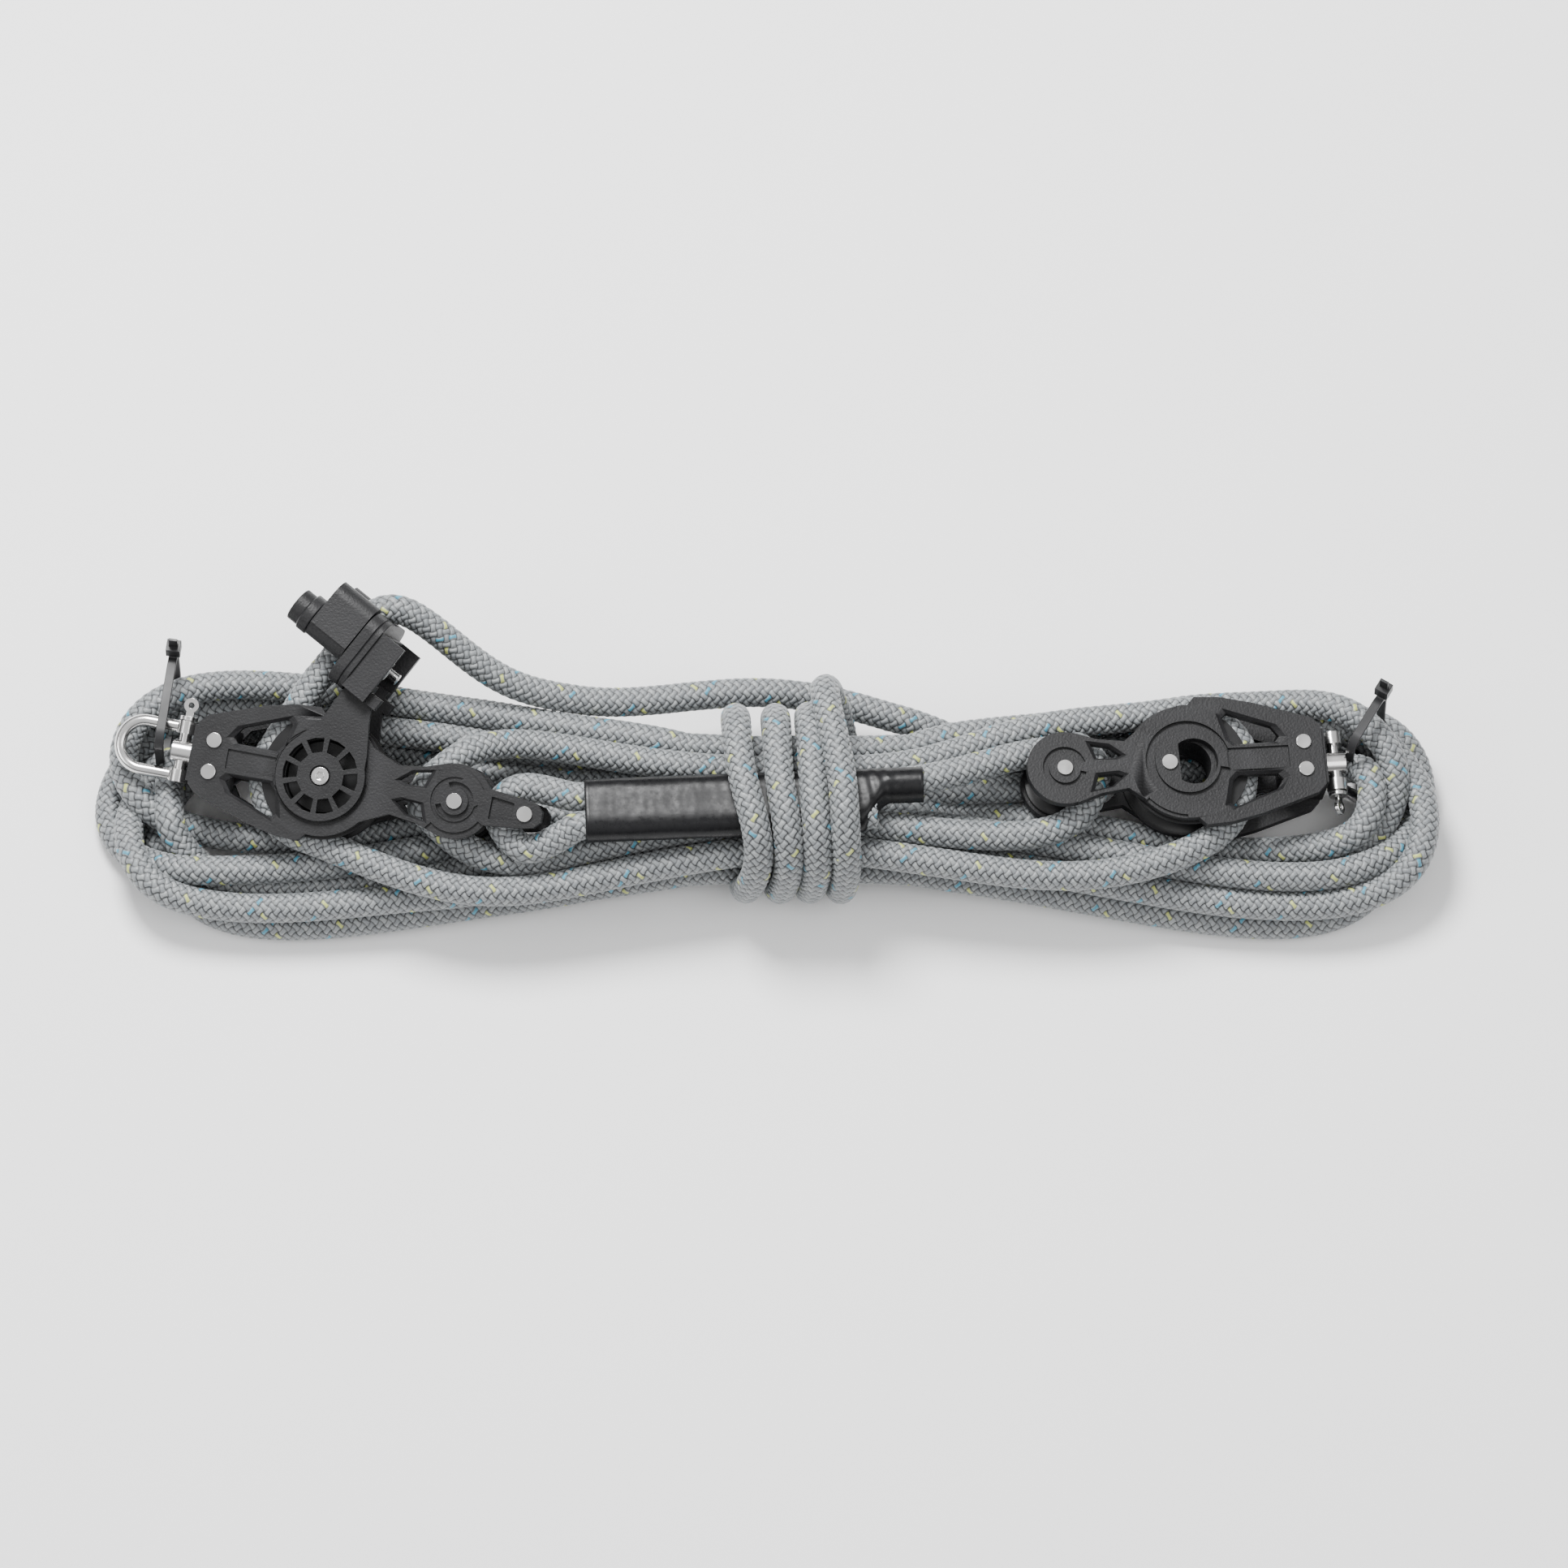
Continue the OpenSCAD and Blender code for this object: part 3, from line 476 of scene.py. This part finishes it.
# The hank: each loop's front leg, rear leg and far points (Y, Z) at each end, in millimetres
WAIST_FRONT = [(-18.2, 28.4), (-29.5, 18.4), (-24, 28.4), (-35.3, 28.4), (-40.8, 18.4)]
WAIST_REAR = [(3.7, 36), (4.4, 18.4), (-1.4, 28.4), (-6.9, 18.4), (-12.7, 28.4)]
LEFT_END = [  # front Y, Z; rear Y, Z; far X, Z
    ((-28.4, 14), (39, 26), (-267.4, 20)),
    ((-44.4, 23), (32, 14), (-266.5, 8)),
    ((-49.4, 12), (20, 26), (-254, 20)),
    ((-59.6, 17), (27, 6), (-258, 14)),
    ((-62.9, 6), (20, 14), (-253, 6))]
RIGHT_END = [
    ((-47, 14), (28.6, 22), (259, 22)),
    ((-50, 25), (24, 10), (267.4, 15)),
    ((-59, 17), (17, 20), (264, 20)),
    ((-62.9, 6), (16, 7), (260, 6)),
    ((-36, 20), (8, 14), (250, 26))]


def bend(front, rear, far, turn):
    """Points round one end of a loop: a half circle that rises or falls towards its far point."""
    (yf, zf), (yr, zr), (xe, ze) = front, rear, far
    radius = (yr - yf) / 2
    cx = xe - turn * radius
    out = []
    for a in np.linspace(-90, 90, 9):
        c, s = math.cos(math.radians(a)), math.sin(math.radians(a))
        base = zf + (zr - zf) * (s + 1) / 2
        rise = (ze - (zf + zr) / 2) * c
        out.append((cx + turn * radius * c, (yf + yr) / 2 + radius * s, base + rise))
    return out


def leg(start, end, count=4):
    """Points between two places on a leg, easing in and out of its own direction."""
    a, b = np.array(start), np.array(end)
    out = []
    for t in np.linspace(0, 1, count + 2)[1:-1]:
        e = t * t * (3 - 2 * t)
        out.append((a[0] + (b[0] - a[0]) * t, a[1] + (b[1] - a[1]) * e, a[2] + (b[2] - a[2]) * e))
    return out


def hank_route():
    """Five loops, one after the other, each through its own two places in the waist."""
    waist_left, waist_right = -12, 42
    points, held = [], []

    def add(more, fixed):
        points.extend(more)
        held.extend([fixed] * len(more))

    for i in range(5):
        front, rear = WAIST_FRONT[i], WAIST_REAR[i]
        left = bend(*LEFT_END[i], -1)
        right = bend(*RIGHT_END[i], 1)[::-1]
        a, b = (waist_right if i else 18, *front), (waist_left, *front)
        c, d = (waist_left, *rear), (waist_right, *rear)
        add([a, (5, *front), b], True)
        add(leg(b, left[0]) + left + leg(left[-1], c), False)
        add([c, ((waist_left + waist_right) / 2, *rear), d], True)
        after = (waist_right, *WAIST_FRONT[(i + 1) % 5])
        add(leg(d, right[0]) + right + leg(right[-1], after), False)
    add([(waist_right, *WAIST_FRONT[0]), (28, *WAIST_FRONT[0])], True)
    return mm(points), np.array(held)


# How far the rope keeps off the blocks, and off the shackles so that they can tilt and turn
BLOCK_ROOM = 0.4 * MM
SHACKLE_ROOM = 4.6 * MM
STIFFNESS = 0.35
HOME_PULL = 0.015


def straightening(p, inner):
    """How far each point lies from the middle of its two neighbours."""
    out = np.zeros_like(p)
    out[1:-1] = (p[:-2] + p[2:]) / 2 - p[1:-1]
    out[~inner] = 0
    return out


def relaxed(lines, fixed, radii, rounds):
    """Pushes strands apart, off the floor and off the blocks, and keeps them smooth."""
    which = np.concatenate([np.full(len(p), i) for i, p in enumerate(lines)])
    order = np.concatenate([np.arange(len(p)) for p in lines])
    p = np.vstack(lines)
    home = p.copy()
    hold = np.concatenate(fixed)
    size = np.concatenate(radii)
    move = np.where(hold, 0.0, 1.0)[:, None]
    inner = np.ones(len(p), bool)
    start = 0
    for q in lines:
        inner[[start, start + len(q) - 1]] = False
        start += len(q)
    want = size[:, None] + size[None, :]
    near_self = (which[:, None] == which[None, :]) & (np.abs(order[:, None] - order[None, :]) < 5)
    for _ in range(rounds):
        d = p[:, None] - p[None, :]
        dist = np.sqrt((d ** 2).sum(-1)) + 1e-9
        lack = np.clip(want - dist, 0, None)
        lack[near_self] = 0
        i, j = np.nonzero(lack)
        push = np.zeros_like(p)
        count = np.zeros(len(p))
        share = move[j, 0] + move[i, 0]
        amount = np.where(share > 0, lack[i, j] / np.maximum(share, 1), 0)
        np.add.at(push, i, (amount / dist[i, j])[:, None] * d[i, j])
        np.add.at(count, i, 1)
        push /= np.maximum(count, 1)[:, None] ** 0.5
        for n in np.nonzero(move[:, 0])[0]:
            for tree, room in ((BLOCKS, BLOCK_ROOM), (SHACKLES, SHACKLE_ROOM)):
                hit = tree.find_nearest(Vector(p[n]), size[n] + room)
                if hit[0] is None:
                    continue
                away = Vector(p[n]) - hit[0]
                if away.length > 1e-7:
                    push[n] += np.array(away.normalized()) * (size[n] + room - away.length)
        p += push * move
        p += straightening(p, inner) * move * STIFFNESS
        p += (home - p) * move * HOME_PULL
        low = size - p[:, 2]
        p[:, 2] += np.clip(low, 0, None) * move[:, 0]
    for _ in range(6):
        p += straightening(p, inner) * move * 0.3
    out, start = [], 0
    for q in lines:
        out.append(p[start:start + len(q)])
        start += len(q)
    return out


# Each wrap's place along X at the foot of its front, at mid front, at the top and at the rear
WRAP_X = [(-9.8, -3, -11, -13), (4.2, 9.2, 4, 3), (16.2, 20.6, 18, 16.5), (28.6, 31.9, 30, 22)]
WRAP_REAR = [15, 15, 15.5, 27]
WRAP_TOP = [65.6, 65.6, 66, 69]


def wrap_turn(index):
    """One turn round the waist, from the foot of its front over the top and down the rear."""
    foot, front, top, rear = WRAP_X[index]
    y, z = WRAP_REAR[index], WRAP_TOP[index]
    if index == len(WRAP_X) - 1:
        down = [(25, y - 1, 46), (28.5, y - 7, 32), (31, 15.5, 18), (31.5, 5, 8),
                (31.5, -8, 6.3), (31.5, -22, 6.3)]
    else:
        after = WRAP_X[index + 1][0]
        down = [(rear, y + 1, 34), (rear + 1, y - 3, 17), (rear + 3, y - 16, 7.5),
                ((rear + after) / 2 + 1, -19, 6.3)]
    return [(foot, -44, 8.2), (foot, -51.6, 17), (foot + 2, -53.4, 30), (front, -52.8, 44),
            (front, -49, 56), (front - 1, -39, z - 1.2), (top, -19, z), (rear + 1, y - 14, z - 1.5),
            (rear, y - 2, z - 12)] + down


def wraps_route():
    points = [(-9, -30, 6.3)]
    for index in range(len(WRAP_X)):
        points += wrap_turn(index)
    return eased(smooth_line(mm(points), ROPE_STEP), 9)


def eased(line, rounds):
    """A line with its tight turns opened out."""
    line = line.copy()
    for _ in range(rounds):
        line[1:-1] += 0.4 * ((line[:-2] + line[2:]) / 2 - line[1:-1])
    return line


def nodes_tree(names):
    """One search tree over the faces of several CAD nodes."""
    verts, faces = [], []
    for name in names:
        mesh = frame["nodes"][name].data
        base = len(verts)
        verts += [v.co.copy() for v in mesh.vertices]
        faces += [[base + i for i in f.vertices] for f in mesh.polygons]
    return BVHTree.FromPolygons(verts, faces)


SHACKLES = nodes_tree([n for n in frame["nodes"] if "shackle" in n])
BLOCKS = nodes_tree([n for n in frame["nodes"] if n.split("_")[-1] in (
    "near", "far", "head", "arm", "base", "swivel") and "jaw" not in n])


def nearest_flags(line, points, held):
    """Whether each point of a finer line belongs to a held stretch of the route."""
    d = np.linalg.norm(line[:, None] - points[None], axis=-1)
    return held[d.argmin(1)]


def make_rope():
    """The rope's three declared lengths: rove through the blocks, folded, and bound round the waist."""
    reeved_points, reeved_held = reeved_route()
    hank_points, hank_held = hank_route()
    wraps = even_line(wraps_route(), ROPE_STEP)
    reeved = smooth_line(reeved_points, ROPE_STEP)
    hank = smooth_line(hank_points, ROPE_STEP)
    flags = [nearest_flags(reeved, reeved_points, reeved_held),
             nearest_flags(hank, hank_points, hank_held), np.ones(len(wraps), bool)]
    radii = [np.full(len(q), ROPE_R + 0.00005) for q in (reeved, hank, wraps)]
    rounds = 90
    reeved, hank, wraps = relaxed([reeved, hank, wraps], flags, radii, rounds)
    material = rope_material("braid_grey")
    for name, line, nodes in (
            ("rope_reeved", reeved, ("rope_in_sheaves", "rope_eye", "rope_run_one", "rope_run_two",
                                     "rope_run_three", "rope_run_four", "rope_cleat_run")),
            ("rope_hanked", hank, ("rope_hank",)),
            ("rope_bound", wraps, ("rope_wraps",))):
        piece, fine = braided(name, line, material)
        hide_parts(*nodes)


# ---------- Hard parts from the CAD ----------


def softened(node, material, width):
    """A copy of a CAD node with its edges rounded."""
    src = frame["nodes"][node]
    bm = bmesh.new()
    bm.from_mesh(src.data)
    bmesh.ops.remove_doubles(bm, verts=bm.verts, dist=1e-6)
    bmesh.ops.dissolve_limit(bm, angle_limit=math.radians(0.6), verts=bm.verts, edges=bm.edges)
    mesh = bpy.data.meshes.new(node + "_look")
    bm.to_mesh(mesh)
    bm.free()
    piece = bpy.data.objects.new(node + "_look", mesh)
    bpy.context.scene.collection.objects.link(piece)
    mesh.materials.clear()
    mesh.materials.append(material)
    shade_smooth(mesh)
    if width:
        round_edges(piece, width)
    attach(piece, body_of_node(node))
    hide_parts(node)
    return piece


def round_edges(piece, width):
    """Rounds a piece's edges, and keeps its flat faces flat in shading."""
    piece.data.set_sharp_from_angle(angle=math.radians(38))
    bevel = piece.modifiers.new("bevel", "BEVEL")
    bevel.width = width
    bevel.segments = 2
    bevel.limit_method = "ANGLE"
    bevel.angle_limit = math.radians(32)
    even = piece.modifiers.new("even", "WEIGHTED_NORMAL")
    even.keep_sharp = True


# Height of a cheek's outer face above the middle of its block, in millimetres
FACE = 12.0


def c_shape(x, inner, outer, start, end, count=26):
    """Outline of a part ring round an axle, between two angles in degrees."""
    angles = np.radians(np.linspace(start, end, count))
    out = [(x + outer * math.cos(a), outer * math.sin(a)) for a in angles]
    return out + [(x + inner * math.cos(a), inner * math.sin(a)) for a in angles[::-1]]


def carved(node, material, width, place, cuts):
    """A CAD cheek with hollows in its outer face. A cut is an outline, its depth and its flare."""
    piece = softened(node, material, 0)
    bm = bmesh.new()
    for outline, deep, flare in cuts:
        centre = np.mean(outline, axis=0)
        taper = 0.95 if flare > 1.2 else 1
        wide = [centre + (np.array(p) - centre) * flare for p in outline]
        narrow = [centre + (np.array(p) - centre) * taper for p in outline]
        low = [bm.verts.new(place @ (Vector((x, y, FACE - deep)) * MM)) for x, y in narrow]
        top = [bm.verts.new(place @ (Vector((x, y, FACE + 0.6)) * MM)) for x, y in wide]
        bm.faces.new(low)
        bm.faces.new(top)
        for i in range(len(low)):
            j = (i + 1) % len(low)
            bm.faces.new((low[i], low[j], top[j], top[i]))
    bmesh.ops.recalc_face_normals(bm, faces=bm.faces)
    mesh = bpy.data.meshes.new("cutter")
    bm.to_mesh(mesh)
    bm.free()
    cutter = bpy.data.objects.new("cutter", mesh)
    bpy.context.scene.collection.objects.link(cutter)
    cut = piece.modifiers.new("cut", "BOOLEAN")
    cut.object = cutter
    cut.solver = "EXACT"
    cut.operation = "DIFFERENCE"
    cut.use_self = True
    bpy.context.view_layer.update()
    evaluated = piece.evaluated_get(bpy.context.evaluated_depsgraph_get())
    done = bpy.data.meshes.new_from_object(evaluated)
    piece.modifiers.clear()
    piece.data = done
    bpy.data.objects.remove(cutter)
    shade_smooth(done)
    round_edges(piece, width)
    return piece


HEAD_WINDOW = [(-38, 9), (-36, 6.8), (-20, 6.6), (-17.6, 9), (-15.4, 18), (-17.5, 20),
               (-35, 13.4)]
CHEEK_EDGE = 0.35 * MM


def window_cuts(axle_gap):
    """Wide slopes round the four openings of a cheek."""
    neck = [(axle_gap - 23.5, 4.4), (axle_gap - 20.5, 3.2), (axle_gap - 13.4, 3.6),
            (axle_gap - 11.2, 9.8), (axle_gap - 18.5, 8.4)]
    cuts = []
    for side in (1, -1):
        cuts.append(([(x, side * y) for x, y in HEAD_WINDOW], 1.7, 1.32))
        cuts.append(([(x, side * y) for x, y in neck], 1.3, 1.5))
    return cuts


def make_cheeks(material):
    """The two outer cheeks: blank label panel, grooves round the axles, a step at the small end."""
    small = CAM_GAP
    label = [(-39, -4), (-19.5, -4), (-19.5, 4), (-39, 4)]
    toe = [(small + 15, -4.4), (small + 24, -3.4), (small + 24, 3.4), (small + 15, 4.4)]
    carved("cam_cheek_near", material, CHEEK_EDGE, CAM, window_cuts(small) + [
        (label, 0.9, 1.02), (toe, 1.2, 1.06), (c_shape(small, 5.6, 7.8, -160, 118), 1.4, 1.0),
        (c_shape(small, 12.6, 17.5, 30, 128), 0.9, 1.0),
        (c_shape(small, 12.6, 17.5, -128, -30), 0.9, 1.0),
        (c_shape(0, 17.4, 18.9, 0, 359.5, 72), 1.0, 1.0)])
    small = PLAIN_GAP
    panel = [(-41, -4.6), (-16.5, -4.6), (-16.5, 4.6), (-41, 4.6)]
    carved("plain_cheek_near", material, CHEEK_EDGE, PLAIN, window_cuts(small) + [
        (panel, 0.9, 1.02), (c_shape(0, 13.2, 17.2, -168, 168, 44), 1.4, 1.0),
        (c_shape(small, 6.4, 8.8, -166, 166), 1.2, 1.0),
        (c_shape(0, 22.6, 29, 40, 84), 1.0, 1.0), (c_shape(0, 22.6, 29, -84, -40), 1.0, 1.0)])


def body_of_node(node):
    return next(b for b, ns in frame["record"]["behaviour"]["bodies"].items() if node in ns)


def make_sleeve(material):
    """Shrunk tube over two strands, drawn in to one strand at its right end, with an open rim."""
    centre = Vector((0, -26.3, 52.3)) * MM
    place = Matrix.Translation(centre) @ Matrix.Rotation(math.radians(2.3), 4, "Z")
    left, right, around = -73.0, 62.6, 72
    rows = [(left + 9, 0.86), (left + 0.6, 0.86), (left, 0.9), (left, 0.97), (left + 0.4, 1.015)]
    rows += [(x, 1.0) for x in np.linspace(left + 1.6, right - 1.2, 190)]
    rows += [(right - 0.3, 1.01), (right, 0.98), (right, 0.9), (right - 6, 0.87)]
    bm = bmesh.new()
    rings = []
    for x, grow in rows:
        t = min(max((x - 37) / 12, 0), 1)
        drawn = t * t * (3 - 2 * t)
        ring = []
        for k in range(around):
            a = 2 * math.pi * k / around
            c, s = math.cos(a), math.sin(a)
            half = 6 * (1 - drawn)
            dip = 0.55 * (1 - drawn) * math.exp(-(c / 0.35) ** 2)
            crease = 0.16 * noise.noise(Vector((x * 0.07, c * 1.4 + 5, s * 1.4)))
            crease += 0.05 * noise.noise(Vector((x * 0.35, c * 2.2, s * 2.2 + 9)))
            crease += 0.16 * math.sin(1.3 * x + 4 * c) * math.exp(-((x - 44) / 6) ** 2)
            r = (7.2 + crease) * grow
            y = 6 * drawn + half * math.tanh(2.6 * c) / math.tanh(2.6) * grow + r * c
            ring.append(bm.verts.new(place @ (Vector((x, y, (r - dip) * s)) * MM)))
        rings.append(ring)
    for p, q in zip(rings, rings[1:]):
        for k in range(around):
            bm.faces.new((p[k], q[k], q[(k + 1) % around], p[(k + 1) % around]))
    bmesh.ops.recalc_face_normals(bm, faces=bm.faces)
    mesh = bpy.data.meshes.new("eye_sleeve_look")
    bm.to_mesh(mesh)
    bm.free()
    shade_smooth(mesh)
    mesh.materials.append(material)
    piece = bpy.data.objects.new("eye_sleeve_look", mesh)
    bpy.context.scene.collection.objects.link(piece)
    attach(piece, "tackle")
    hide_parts("eye_sleeve")


def make_hard_parts():
    black = moulded_plastic("moulded_black", (0.0095, 0.0095, 0.0103), 0.48, 0.0003)
    satin = moulded_plastic("sheave_black", (0.008, 0.008, 0.0085), 0.36, 0.00004)
    steel = stainless("stainless", (0.66, 0.655, 0.65), 0.18)
    sleeve = shrunk_sleeve("shrunk_tube")
    tie = moulded_plastic("tie_nylon", (0.016, 0.016, 0.017), 0.4, 0.00003)
    looks = {"moulding": (black, 0.5 * MM), "sheave": (satin, 0.3 * MM), "steel": (steel, 0.3 * MM),
             "sleeve": (sleeve, 0.3 * MM), "tie": (tie, 0.2 * MM)}
    made_apart = ("eye_sleeve", "cam_cheek_near", "plain_cheek_near")
    rounder = {"jaw_near": 1.5 * MM, "jaw_far": 1.5 * MM, "jaw_caps": 0.9 * MM,
               "cleat_base": 0.8 * MM, "cleat_arm": 0.9 * MM}
    for sub in frame["record"]["subparts"]:
        if sub["material_slot"] == "rope" or sub["node"] in made_apart:
            continue
        material, width = looks[sub["material_slot"]]
        softened(sub["node"], material, rounder.get(sub["node"], width))
    make_sleeve(sleeve)
    make_cheeks(black)


make_stage()
make_camera()
make_rope()
make_hard_parts()
